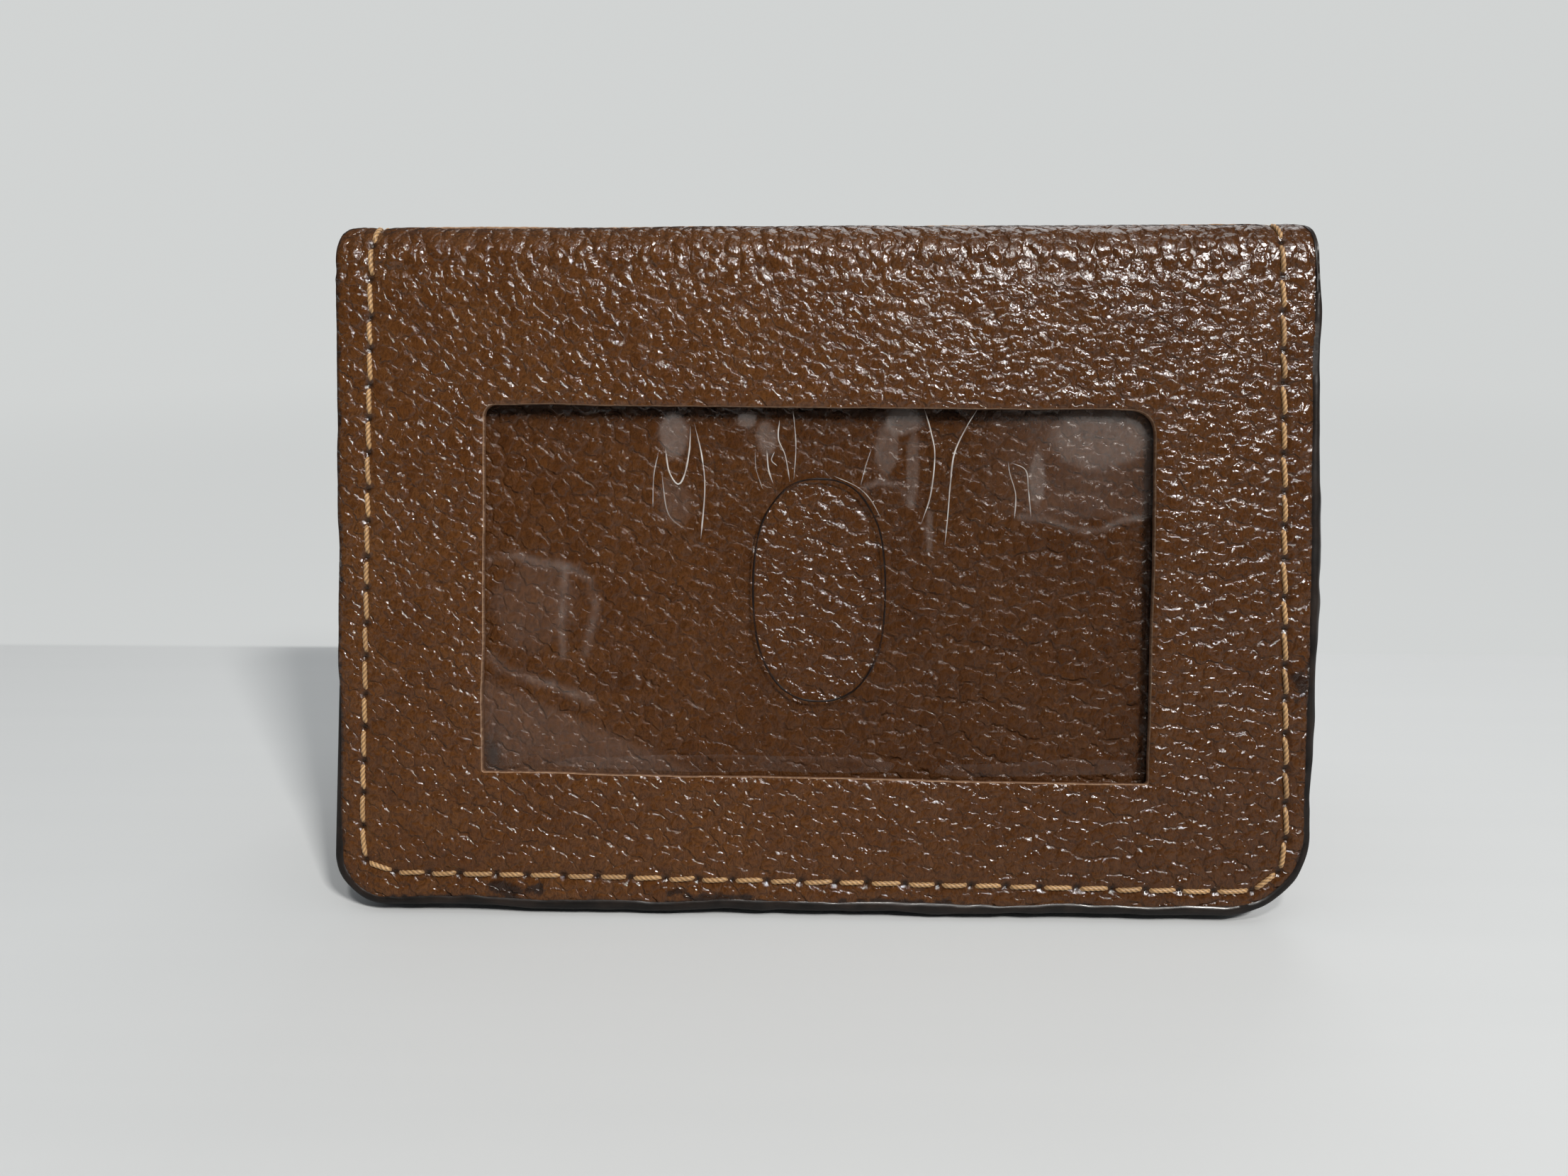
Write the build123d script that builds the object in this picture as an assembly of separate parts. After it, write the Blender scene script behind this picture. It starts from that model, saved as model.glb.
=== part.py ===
from build123d import *
from math import cos, floor, pi, radians, sin
import os

# A fold-over leather card holder standing as a tent, in millimetres.
# +X runs along the fold, +Y from the front half to the rear half, +Z up. The origin is on the surface that
# it stands on, in the middle of the footprint.
#
# Each half is drawn flat: x across, y up from the leather's bottom edge to where the fold starts to curve,
# z outward from the outer face of the leather. Its plane then leans it back against the other half.

# Overall form
lean = 15.0                  # each half's lean from the vertical, in degrees
leather_width = 100.0
half_height = 66.3           # straight height of a half, up to the start of the fold's curve
corner_left = 5.0            # radius of the bottom corner on the -X side
corner_right = 8.0           # radius of the bottom corner on the +X side

# Layers, from the outer face inward
cover_thickness = 1.2
layer_thickness = 0.55       # interlining, lining, panels and pockets
film_thickness = 0.25
inner_layers = 4             # layers inside the cover, in each half
inner_gap = 2.0              # the inner layers stop this far below the fold's curve

# Fold
fold_radius = 4.0            # at the middle of the leather's thickness
fold_lining_thickness = 0.4
fold_arc = 69.0              # the fold strip reaches this far each side of its top, in degrees

# Window, film and ID slot
window_width = 69.0
window_height = 38.3
window_left = 0.4            # how far the window sits to the -X side of the middle
window_bottom = 13.2
window_corner = 1.8
film_margin = 3.5            # film hidden behind the leather on each side
film_play = 0.5              # between the film and the interlining round it
thumb_hole_width = 13.7
thumb_hole_height = 23.0
thumb_hole_right = 0.5       # from the window's centre
thumb_hole_up = 0.3

# Card pockets
rear_panel_drop = 6.0        # top of the rear pocket panel below the lining's top
upper_pocket_height = 51.0
lower_pocket_height = 38.0
notch_width = 18.0
notch_depth = 6.5

# Stitching
stitch_inset = 2.7
stitch_pitch = 3.57
stitch_length = 2.9
thread = 0.6
thread_height = 0.3
groove_width = 1.0
groove_depth = 0.35
stitch_start = 1.6           # first stitch's middle below the start of the fold's curve
fold_stitch_pitch = 44.0     # degrees between stitches over the fold
fold_stitches = 3

# Edge paint
bead = 1.0                   # how far the bead stands out from the cut edge
bead_round = 0.8
fold_bead = 0.3

# Worked out from the above
fold_outer = fold_radius + cover_thickness / 2
fold_inner = fold_radius - cover_thickness / 2
fold_lining_inner = fold_inner - fold_lining_thickness
layer_height = half_height - inner_gap
half_thickness = cover_thickness + inner_layers * layer_thickness
# Lowest point of a rounded bead under a leaning half, measured down from the half's drawn origin
foot_drop = (
    (bead - bead_round) * cos(radians(lean))
    + (half_thickness - bead_round) * sin(radians(lean))
    + bead_round
)
fold_start_z = foot_drop + half_height * cos(radians(lean))
fold_axis_z = fold_start_z - fold_outer * sin(radians(lean))
foot_y = fold_outer * cos(radians(lean)) + half_height * sin(radians(lean))

front_plane = Plane(
    origin=(0, -foot_y, foot_drop),
    x_dir=(1, 0, 0),
    z_dir=(0, -cos(radians(lean)), sin(radians(lean))),
)
rear_plane = Plane(
    origin=(0, foot_y, foot_drop),
    x_dir=(-1, 0, 0),
    z_dir=(0, cos(radians(lean)), sin(radians(lean))),
)
# The fold is drawn in section, x along +Y and y up, about its own axis.
fold_plane = Plane(origin=(0, 0, fold_axis_z), x_dir=(0, 1, 0), z_dir=(1, 0, 0))


def outline(height, grow=0.0, mirrored=False):
    """Face of a half: square at the top, with the two bottom corners rounded."""
    x = leather_width / 2 + grow
    left, right = (corner_right, corner_left) if mirrored else (corner_left, corner_right)
    left += grow
    right += grow
    edges = [
        Line((-x, height), (-x, left - grow)),
        RadiusArc((-x, left - grow), (left - x, -grow), -left),
        Line((left - x, -grow), (x - right, -grow)),
        RadiusArc((x - right, -grow), (x, right - grow), -right),
        Line((x, right - grow), (x, height)),
        Line((x, height), (-x, height)),
    ]
    return make_face(Wire(edges))


def layer(sketch, outer, thickness):
    """A flat sheet whose outer face lies `outer` below the outer face of the leather."""
    return extrude(Pos(0, 0, -outer - thickness) * sketch, amount=thickness)


def depth(index):
    """How deep the outer face of inner layer `index` lies, counted from 0."""
    return cover_thickness + index * layer_thickness


def window(grow=0.0, corner=window_corner):
    """The window's rectangle, in the front half's flat drawing."""
    return Pos(-window_left, window_bottom + window_height / 2) * RectangleRounded(
        window_width + 2 * grow, window_height + 2 * grow, corner
    )


def seam(mirrored):
    """The stitch line down one side, along the bottom and up the other side."""
    x = leather_width / 2 - stitch_inset
    left, right = (corner_right, corner_left) if mirrored else (corner_left, corner_right)
    left -= stitch_inset
    right -= stitch_inset
    y = stitch_inset
    top = half_height - stitch_start
    return Wire([
        Line((-x, top), (-x, y + left)),
        RadiusArc((-x, y + left), (left - x, y), -left),
        Line((left - x, y), (x - right, y)),
        RadiusArc((x - right, y), (x, y + right), -right),
        Line((x, y + right), (x, top)),
    ])


def stitch_places(mirrored):
    """Position and direction of each stitch, evenly spaced along the seam."""
    line = seam(mirrored)
    count = floor(line.length / stitch_pitch)
    for step in range(count + 1):
        at = line.position_at(step / count)
        along = line.tangent_at(step / count)
        yield at, Vector(1, 0, 0).get_signed_angle(along, Vector(0, 0, 1))


def groove(mirrored):
    """The shallow channel that the stitches lie in: a U that is open at the fold."""
    outer = outline(half_height + 1, groove_width / 2 - stitch_inset, mirrored)
    inner = outline(half_height + 2, -groove_width / 2 - stitch_inset, mirrored)
    channel = layer(outer - inner, 0, groove_depth)
    # A straight stitch across a rounded corner leaves the channel, so it has a short one of its own.
    for at, angle in stitch_places(mirrored):
        if abs(sin(radians(2 * angle))) > 0.05:
            short = Pos(at.X, at.Y) * Rot(0, 0, angle) * SlotOverall(stitch_length + 0.4, groove_width)
            channel += layer(short, 0, groove_depth)
    return channel


def stitches(mirrored, face_depth):
    """Outline of each stitch, on the face that lies face_depth(height) below the outer face there."""
    return [
        Pos(at.X, at.Y, -face_depth(at.Y)) * Rot(0, 0, angle) * SlotOverall(stitch_length, thread)
        for at, angle in stitch_places(mirrored)
    ]


def outer_stitches(mirrored):
    """Stitches lying in the groove of the outer face."""
    sketches = stitches(mirrored, lambda height: groove_depth)
    return Compound([extrude(sketch, amount=thread_height) for sketch in sketches])


def inner_depth(tops):
    """Depth of the innermost face at a height, where `tops` holds each inner layer's top edge."""
    def at_height(height):
        # A stitch that would straddle a layer's top edge stands on the deeper layer.
        covering = [index for index, top in enumerate(tops) if height < top + stitch_length / 2]
        return depth(max(covering) + 1)
    return at_height


def bobbin_stitches(mirrored, tops):
    """Stitches lying on the innermost face."""
    sketches = stitches(mirrored, inner_depth(tops))
    return Compound([extrude(sketch, amount=-thread_height) for sketch in sketches])


def bead_band(low, high, thickness, mirrored):
    """The stretch of edge bead between two heights, rounded on both outer edges."""
    slab = layer(outline(high + 2, bead, mirrored), 0, thickness)
    rims = slab.faces().filter_by(Axis.Z).edges()
    slab = fillet(rims, min(bead_round, thickness / 2 - 0.05))
    slab -= layer(outline(high + 4, 0, mirrored), -1, thickness + 2)
    band = Pos(0, (low + high) / 2, -thickness / 2) * Box(leather_width + 4, high - low, thickness)
    return slab & band


def edge_bead(mirrored, tops):
    """Paint bead round the cut edges, as deep as the layers are at each height."""
    levels = sorted(set(tops), reverse=True)
    heights = [half_height, *levels, -bead]
    depths = [cover_thickness] + [depth(sum(top >= level for top in tops)) for level in levels]
    bands = [
        bead_band(low, high, thickness, mirrored)
        for high, low, thickness in zip(heights, heights[1:], depths)
    ]
    return bands[0].fuse(*bands[1:])


def notched_panel(height, index, mirrored):
    """A pocket panel with a rounded thumb notch in the middle of its top edge."""
    sheet = outline(height, 0, mirrored)
    sheet -= Pos(0, height) * Ellipse(notch_width / 2, notch_depth)
    return layer(sheet, depth(index), layer_thickness)


def front_half():
    """Cover with the window, film, interlining, panel behind the window and two card pockets."""
    tops = [layer_height, layer_height, upper_pocket_height, lower_pocket_height]
    hole_at = Pos(thumb_hole_right - window_left, window_bottom + window_height / 2 + thumb_hole_up)
    film = window(film_margin) - hole_at * Ellipse(thumb_hole_width / 2, thumb_hole_height / 2)
    nest = window(film_margin + film_play)
    return {
        "front_cover": layer(outline(half_height) - window(), 0, cover_thickness) - groove(False),
        "window_film": layer(film, cover_thickness, film_thickness),
        "front_interlining": layer(outline(layer_height) - nest, depth(0), layer_thickness),
        "id_backing": layer(outline(layer_height), depth(1), layer_thickness),
        "front_pocket_upper": notched_panel(upper_pocket_height, 2, False),
        "front_pocket_lower": notched_panel(lower_pocket_height, 3, False),
        "front_stitching": outer_stitches(False),
        "front_bobbin_stitching": bobbin_stitches(False, tops),
        "front_edge_paint": edge_bead(False, tops),
    }


def rear_half():
    """Cover, fabric lining, panel that forms a full-width slot and two card pockets."""
    panel_height = layer_height - rear_panel_drop
    tops = [layer_height, panel_height, upper_pocket_height, lower_pocket_height]
    return {
        "rear_cover": layer(outline(half_height, 0, True), 0, cover_thickness) - groove(True),
        "rear_lining": layer(outline(layer_height, 0, True), depth(0), layer_thickness),
        "rear_pocket_back": layer(outline(panel_height, 0, True), depth(1), layer_thickness),
        "rear_pocket_upper": notched_panel(upper_pocket_height, 2, True),
        "rear_pocket_lower": notched_panel(lower_pocket_height, 3, True),
        "rear_stitching": outer_stitches(True),
        "rear_bobbin_stitching": bobbin_stitches(True, tops),
        "rear_edge_paint": edge_bead(True, tops),
    }


def fold_section(inner, outer, half_angle, middle=0.0):
    """Section of a curved strip about the fold's axis, `middle` degrees round from its top."""
    def at(radius, angle):
        return (radius * sin(radians(angle)), radius * cos(radians(angle)))

    low, high = middle - half_angle, middle + half_angle
    return make_face(Wire([
        ThreePointArc(at(outer, low), at(outer, middle), at(outer, high)),
        Line(at(outer, high), at(inner, high)),
        ThreePointArc(at(inner, high), at(inner, middle), at(inner, low)),
        Line(at(inner, low), at(outer, low)),
    ]))


def fold_strip(inner, outer, half_angle, width, x=0.0, middle=0.0):
    """A curved strip of the fold, `width` long along the fold and centred at x."""
    sketch = fold_section(inner, outer, half_angle, middle)
    return Pos(0, 0, x) * extrude(sketch, amount=width / 2, both=True)


def fold_stitch_row(base, thickness):
    """Stitches over the fold at both ends, each a short curved bar."""
    half_angle = stitch_length / 2 / (base + thickness / 2) * 180 / pi
    solids = []
    for side in (-1, 1):
        for step in range(fold_stitches):
            middle = (step - (fold_stitches - 1) / 2) * fold_stitch_pitch
            x = side * (leather_width / 2 - stitch_inset)
            solids.append(fold_strip(base, base + thickness, half_angle, thread, x, middle))
    return Compound(solids)


def fold():
    """The curved strip of leather at the top, its lining, stitches and edge paint."""
    leather = fold_strip(fold_inner, fold_outer, fold_arc, leather_width)
    for side in (-1, 1):
        x = side * (leather_width / 2 - stitch_inset)
        leather -= fold_strip(fold_outer - groove_depth, fold_outer + 1, fold_arc + 2, groove_width, x)
    beads = [
        fold_strip(fold_lining_inner, fold_outer, fold_arc, fold_bead, side * (leather_width + fold_bead) / 2)
        for side in (-1, 1)
    ]
    return {
        "spine_leather": leather,
        "spine_lining": fold_strip(fold_lining_inner, fold_inner, fold_arc, leather_width),
        "spine_stitching": fold_stitch_row(fold_outer - groove_depth, thread_height),
        "spine_bobbin_stitching": fold_stitch_row(fold_lining_inner - thread_height, thread_height),
        "spine_edge_paint": Compound(beads),
    }


os.makedirs("parts", exist_ok=True)
for plane, pieces in ((front_plane, front_half()), (fold_plane, fold()), (rear_plane, rear_half())):
    for name, piece in pieces.items():
        solids = [plane.location * solid for solid in piece.solids()]
        export_step(Compound(solids), f"parts/{name}.step")
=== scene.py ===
"""Leather card holder standing as a tent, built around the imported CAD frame.

Lengths are in mm until a mesh is made. A sheet is drawn flat: x across, s from the front half's bottom edge
up, over the fold and down to the rear half's bottom edge, and h outward from the leather's outer face.
"""
from math import cos, hypot, pi, radians, sin

import bmesh
import bpy
import numpy as np
from mathutils import Matrix, Vector
from mathutils.geometry import delaunay_2d_cdt


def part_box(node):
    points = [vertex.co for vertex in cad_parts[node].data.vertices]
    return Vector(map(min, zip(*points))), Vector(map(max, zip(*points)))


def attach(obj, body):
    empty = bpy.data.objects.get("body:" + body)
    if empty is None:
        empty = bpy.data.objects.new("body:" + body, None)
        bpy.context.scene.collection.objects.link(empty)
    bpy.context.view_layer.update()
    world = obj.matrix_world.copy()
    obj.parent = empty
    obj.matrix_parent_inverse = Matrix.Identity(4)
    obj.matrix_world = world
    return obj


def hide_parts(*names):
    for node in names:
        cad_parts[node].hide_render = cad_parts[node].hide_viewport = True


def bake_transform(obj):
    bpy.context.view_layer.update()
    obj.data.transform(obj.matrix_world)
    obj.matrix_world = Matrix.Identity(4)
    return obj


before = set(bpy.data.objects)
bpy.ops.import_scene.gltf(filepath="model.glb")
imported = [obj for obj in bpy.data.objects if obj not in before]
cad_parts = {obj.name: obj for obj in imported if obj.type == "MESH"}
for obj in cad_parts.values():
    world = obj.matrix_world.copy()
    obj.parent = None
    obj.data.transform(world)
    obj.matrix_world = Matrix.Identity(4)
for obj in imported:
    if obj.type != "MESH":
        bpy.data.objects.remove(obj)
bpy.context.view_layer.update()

MM = 0.001

# Sizes fixed by the design
LEAN = radians(15.0)
COVER = 1.2
LAYER = 0.55
LINING_ON_FOLD, LINING_GAP = 0.4, 0.5
FOLD_RADIUS = 4.0
FOLD_OUTER = FOLD_RADIUS + COVER / 2
CORNER_LEFT, CORNER_RIGHT = 5.0, 8.0
NOTCH_HALF, NOTCH_DEPTH = 9.0, 6.5
SEAM_INSET = 2.7
PITCH = 3.57
THREAD_RADIUS, THREAD_GAP, THREAD_DIVE, THREAD_TWIST = 0.235, 0.27, 0.62, 1.55
YARN_PITCH = 0.5

# Sizes read from the frame
cover_low, cover_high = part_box("front_cover")
WIDTH = (cover_high.x - cover_low.x) / MM
HALF = ((cover_high.z - cover_low.z) / MM - COVER * sin(LEAN)) / cos(LEAN)
AXIS_Z = cover_high.z / MM - FOLD_OUTER * sin(LEAN)
FOLD_TURN = pi - 2 * LEAN
FOLD_LENGTH = FOLD_RADIUS * FOLD_TURN
TOP = HALF + FOLD_LENGTH / 2
TOTAL = HALF * 2 + FOLD_LENGTH
LAYERS_TOP = HALF - 2.0
UPPER_POCKET, LOWER_POCKET = 51.0, 38.0
REAR_PANEL_TOP = LAYERS_TOP - 6.0

WINDOW_WIDTH, WINDOW_HEIGHT, WINDOW_FOOT = 69.0, 38.3, 13.2
WINDOW_CENTRE = (-0.4, WINDOW_FOOT + WINDOW_HEIGHT / 2)
WINDOW_HALF = (WINDOW_WIDTH / 2, WINDOW_HEIGHT / 2)
WINDOW_TILT = radians(-0.5)
WINDOW_TOP_LEFT, WINDOW_TOP_RIGHT, WINDOW_LOW_CORNER = 1.2, 2.4, 0.35
HOLE_CENTRE = (WINDOW_CENTRE[0] + 0.5, WINDOW_CENTRE[1] + 0.3)
HOLE_HALF = (6.85, 11.5)
HOLE_POWER = 2.4
FILM_MARGIN, FILM_THICKNESS, FILM_GAP = 3.5, 0.14, 0.06

SEAM_LEFT, SEAM_RIGHT, SEAM_LOW = 47.8, 48.05, 2.95
SEAM_CORNERS = (2.6, 4.6)
SEAM_DRIFT, SEAM_SLOPE = 0.0235, 0.0107

# Marks in the leather: half-width and depth
SEAM_GROOVE, SEAM_SHOULDER, NEEDLE_HOLE = (0.55, 0.15), (2.0, 0.08), (0.36, 0.30)
ROUNDED_EDGE, WINDOW_LIP = (0.45, 0.30), (0.35, 0.16)

# Grain of the meshes
RELIEF = 0.22
PEBBLE, FINE_PEBBLE = 1.5, 0.72
FRONT_SEED, REAR_SEED, BACKING_SEED, POCKET_SEED = 100, 300, 500, 600
THREAD_SEED = 900


# ---------------------------------------------------------------- noise

def hashed(i, j, seed):
    """Repeatable random number from 0 to 1 for each lattice point."""
    n = i.astype(np.int64) * 374761393 + j.astype(np.int64) * 668265263 + seed * 974711
    n = (n ^ (n >> 13)) & 0x7FFFFFFF
    n = (n * 1274126177) & 0x7FFFFFFF
    return ((n ^ (n >> 16)) & 0xFFFFFF) / float(0xFFFFFF)


def smooth(t):
    """Soft step from none at 0 to one at 1."""
    t = np.clip(t, 0, 1)
    return t * t * (3 - 2 * t)


def noise(u, v, seed):
    """Smooth noise from -1 to 1, with features about one unit across."""
    i, j = np.floor(u), np.floor(v)
    fu, fv = smooth(u - i), smooth(v - j)
    low = hashed(i, j, seed) * (1 - fu) + hashed(i + 1, j, seed) * fu
    high = hashed(i, j + 1, seed) * (1 - fu) + hashed(i + 1, j + 1, seed) * fu
    return (low * (1 - fv) + high * fv) * 2 - 1


def bell(distance, width):
    """One at no distance, falling softly to none on either side."""
    return np.exp(-(distance / width) ** 2)


def fade(distance, width, reach=3):
    """One at an edge, falling off inside it over `width`."""
    return np.exp(-np.clip(distance, 0, reach) / width)


def pebbles(x, s, size, angle, stretch, seed):
    """Irregular cells drawn out along `angle`.

    Returns the distance to the cell's middle and to its border, and how far that border runs along the grain.
    """
    u, v = x / size, s / size
    i0, j0 = np.floor(u), np.floor(v)
    c, d = np.cos(angle), np.sin(angle)
    first = np.full(u.shape, 9.0)
    second = first.copy()
    first_across, second_across = np.zeros(u.shape), np.zeros(u.shape)
    first_along, second_along = np.zeros(u.shape), np.zeros(u.shape)
    for di in range(-2, 3):
        for dj in range(-2, 3):
            i, j = i0 + di, j0 + dj
            du = i + 0.05 + 0.9 * hashed(i, j, seed) - u
            dv = j + 0.05 + 0.9 * hashed(i, j, seed + 7) - v
            along, across = (du * c + dv * d) / stretch, (dv * c - du * d) * stretch
            reach = np.hypot(along, across)
            nearer = reach < first
            between = ~nearer & (reach < second)
            second = np.where(nearer, first, np.where(between, reach, second))
            second_across = np.where(nearer, first_across, np.where(between, across, second_across))
            second_along = np.where(nearer, first_along, np.where(between, along, second_along))
            first = np.where(nearer, reach, first)
            first_across = np.where(nearer, across, first_across)
            first_along = np.where(nearer, along, first_along)
    step_across, step_along = second_across - first_across, second_along - first_along
    length = np.hypot(step_across, step_along) + 1e-6
    border = (second**2 - first**2) / (2 * length)
    lengthwise = np.abs(step_across) / length
    return first, border, lengthwise


# ---------------------------------------------------------------- places

def place(x, s, h):
    """Row-frame position, in mm, of a point of the sheet that runs over the fold."""
    angle = np.clip((s - HALF) / FOLD_RADIUS, 0, FOLD_TURN) - FOLD_TURN / 2
    radius = FOLD_OUTER + h
    past = np.where(s < HALF, s - HALF, np.maximum(s - HALF - FOLD_LENGTH, 0))
    y = radius * np.sin(angle) + past * np.cos(angle)
    z = AXIS_Z + radius * np.cos(angle) - past * np.sin(angle)
    return np.stack(np.broadcast_arrays(x, y, z), axis=-1)


def from_bottom(s):
    """Height above the bottom edge of whichever half the point is on."""
    return np.minimum(s, TOTAL - s)


def outline_inside(x, s):
    """Distance inside the leather's outline, with rounded bottom corners and a hand-cut edge."""
    y = from_bottom(s)
    dx = WIDTH / 2 - np.abs(x)
    radius = np.where(x < 0, CORNER_LEFT, CORNER_RIGHT)
    in_corner = (dx < radius) & (y < radius)
    plain = np.minimum(dx, y)
    rounded = radius - np.hypot(radius - dx, radius - y)
    wave = 0.16 * noise(x / 9, s / 9, 31) + 0.07 * noise(x / 3.1, s / 3.1, 32)
    return np.where(in_corner, rounded, plain) + wave


def window_outside(x, s):
    """Distance outside the window's edge; its bottom corners are cut sharp and its top ones rounded."""
    dx, dy = x - WINDOW_CENTRE[0], s - WINDOW_CENTRE[1]
    c, d = cos(WINDOW_TILT), sin(WINDOW_TILT)
    across, up = dx * c + dy * d, dy * c - dx * d
    radius = np.where(across > 0, WINDOW_TOP_RIGHT, WINDOW_TOP_LEFT)
    radius = np.where(up > 0, radius, WINDOW_LOW_CORNER)
    qx = np.abs(across) - WINDOW_HALF[0] + radius
    qy = np.abs(up) - WINDOW_HALF[1] + radius
    distance = np.hypot(np.maximum(qx, 0), np.maximum(qy, 0)) + np.minimum(np.maximum(qx, qy), 0) - radius
    return distance + 0.09 * noise(x / 7, s / 7, 41) + 0.03 * noise(x / 1.3, s / 1.3, 42)


def hole_outside(x, s):
    """Distance outside the film's oval thumb hole, whose sides are a little straight."""
    u, v = np.abs(x - HOLE_CENTRE[0]) / HOLE_HALF[0], np.abs(s - HOLE_CENTRE[1]) / HOLE_HALF[1]
    reach = (u**HOLE_POWER + v**HOLE_POWER + 1e-9) ** (1 / HOLE_POWER)
    return (reach - 1) * HOLE_HALF[0] + 0.06 * noise(x / 3, s / 3, 43)


def snap(x, s, inside):
    """Moves points to the line where `inside` is zero."""
    step = 0.02
    for _ in range(3):
        d = inside(x, s)
        gx = (inside(x + step, s) - inside(x - step, s)) / (2 * step)
        gs = (inside(x, s + step) - inside(x, s - step)) / (2 * step)
        share = d / (gx**2 + gs**2 + 1e-6)
        x, s = x - np.clip(share * gx, -1, 1), s - np.clip(share * gs, -1, 1)
    return x, s


# ---------------------------------------------------------------- meshes

def make_object(name, verts, faces, slots=None, materials=(), attributes=None):
    """Mesh object from arrays in mm, smooth, with sharp edges where the surface really turns."""
    mesh = bpy.data.meshes.new(name)
    mesh.from_pydata((np.asarray(verts) * MM).tolist(), [], faces)
    for material in materials:
        mesh.materials.append(material)
    if slots is not None:
        mesh.polygons.foreach_set("material_index", slots)
    for key, values in (attributes or {}).items():
        kind = "FLOAT_VECTOR" if np.ndim(values) == 2 else "FLOAT"
        attribute = mesh.attributes.new(key, kind, "POINT")
        field = "vector" if kind == "FLOAT_VECTOR" else "value"
        attribute.data.foreach_set(field, np.asarray(values, np.float32).ravel())
    bm = bmesh.new()
    bm.from_mesh(mesh)
    bmesh.ops.recalc_face_normals(bm, faces=bm.faces)
    bm.to_mesh(mesh)
    bm.free()
    mesh.polygons.foreach_set("use_smooth", [True] * len(mesh.polygons))
    mesh.set_sharp_from_angle(angle=radians(55))
    mesh.update()
    obj = bpy.data.objects.new(name, mesh)
    bpy.context.scene.collection.objects.link(obj)
    return obj


def lines(low, high, step):
    """Even grid lines about `step` apart."""
    return np.linspace(low, high, max(2, int(round((high - low) / step)) + 1))


def across_lines(step):
    """Grid lines over the leather's width and a little past it."""
    return lines(-WIDTH / 2 - 0.5, WIDTH / 2 + 0.5, step)


def flat_face(h):
    """A flat face at height h."""
    return lambda x, s: np.full(x.shape, h)


def grid_faces(keep):
    """Quads of a grid whose four corners are all kept."""
    rows, cols = keep.shape
    index = np.arange(rows * cols).reshape(rows, cols)
    whole = keep[:-1, :-1] & keep[1:, :-1] & keep[:-1, 1:] & keep[1:, 1:]
    corners = (index[:-1, :-1], index[:-1, 1:], index[1:, 1:], index[1:, :-1])
    return np.stack([c[whole] for c in corners], axis=-1)


def border_edges(faces):
    """Directed edges that only one face has."""
    edges = np.concatenate([faces[:, [k, (k + 1) % 4]] for k in range(4)])
    low, high = edges.min(1), edges.max(1)
    key = low.astype(np.int64) * (edges.max() + 1) + high
    _, first, count = np.unique(key, return_index=True, return_counts=True)
    return edges[first[count == 1]]


def panel(name, x_lines, s_lines, inside, outer, inner, materials, extra=None, rim=3, fine_back=False):
    """A sheet with thickness: gridded outer face, rim walls and an inner face.

    outer and inner give h for arrays of x and s, and extra gives more point attributes of the outer face.
    The inner face is as fine as the outer one, or else a coarse fill. Slot 0 is the outer face, 1 the cut rim
    and 2 the inner face.
    """
    x, s = np.meshgrid(x_lines, s_lines)
    keep = inside(x, s) > 1e-6
    faces = grid_faces(keep)
    used, flat = np.unique(faces, return_inverse=True)
    faces = flat.reshape(faces.shape)
    x, s = x.ravel()[used], s.ravel()[used]
    edges = border_edges(faces)
    border = np.unique(edges)
    step = max(x_lines[1] - x_lines[0], s_lines[1] - s_lines[0])
    near = border[inside(x[border], s[border]) < 1.6 * step]
    end = np.isin(s[near], (s_lines[0], s_lines[-1]))
    snapped_x, snapped_s = snap(x[near], s[near], inside)
    x[near] = snapped_x
    s[near] = np.where(end, s[near], snapped_s)

    h, back = outer(x, s), inner(x, s)
    count = len(x)
    ring_of = np.full(count, -1)
    ring_of[border] = np.arange(len(border))
    all_x, all_s, all_h = [x], [s], [h]
    for level in range(1, rim + 1):
        share = level / rim
        all_x.append(x[border])
        all_s.append(s[border])
        all_h.append(h[border] * (1 - share) + back[border] * share)

    def ring(level, vertices):
        return vertices if level == 0 else count + (level - 1) * len(border) + ring_of[vertices]

    polygons = faces.tolist()
    slots = [0] * len(polygons)
    a, b = edges[:, 0], edges[:, 1]
    for level in range(rim):
        wall = np.stack([ring(level, b), ring(level, a), ring(level + 1, a), ring(level + 1, b)], axis=-1)
        polygons += wall.tolist()
        slots += [1] * len(wall)

    offset = count + rim * len(border)
    if fine_back:
        middle = np.ones(count, bool)
        middle[border] = False
        inner_index = np.empty(count, int)
        inner_index[border] = ring(rim, border)
        inner_index[middle] = offset + np.arange(middle.sum())
        all_x.append(x[middle])
        all_s.append(s[middle])
        all_h.append(back[middle])
        polygons += inner_index[faces[:, ::-1]].tolist()
        slots += [2] * len(faces)
    else:
        bx, bs, triangles = coarse_fill(x, s, border, edges, inside)
        all_x.append(bx)
        all_s.append(bs)
        all_h.append(inner(bx, bs))
        lookup = np.concatenate([ring(rim, border), offset + np.arange(len(bx))])
        polygons += lookup[triangles].tolist()
        slots += [2] * len(triangles)

    x, s, h = (np.concatenate(part) for part in (all_x, all_s, all_h))
    down = np.zeros(len(x))
    down[count:offset] = np.repeat(np.arange(1, rim + 1) / rim, len(border))
    attributes = {"sheet": np.stack([x, s, np.zeros(len(x))], axis=-1), "down": down}
    for key, values in (extra(x[:count], s[:count]) if extra else {}).items():
        filled = np.zeros(len(x))
        filled[:count] = values
        attributes[key] = filled
    return make_object(name, place(x, s, h), polygons, slots, materials, attributes)


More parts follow.
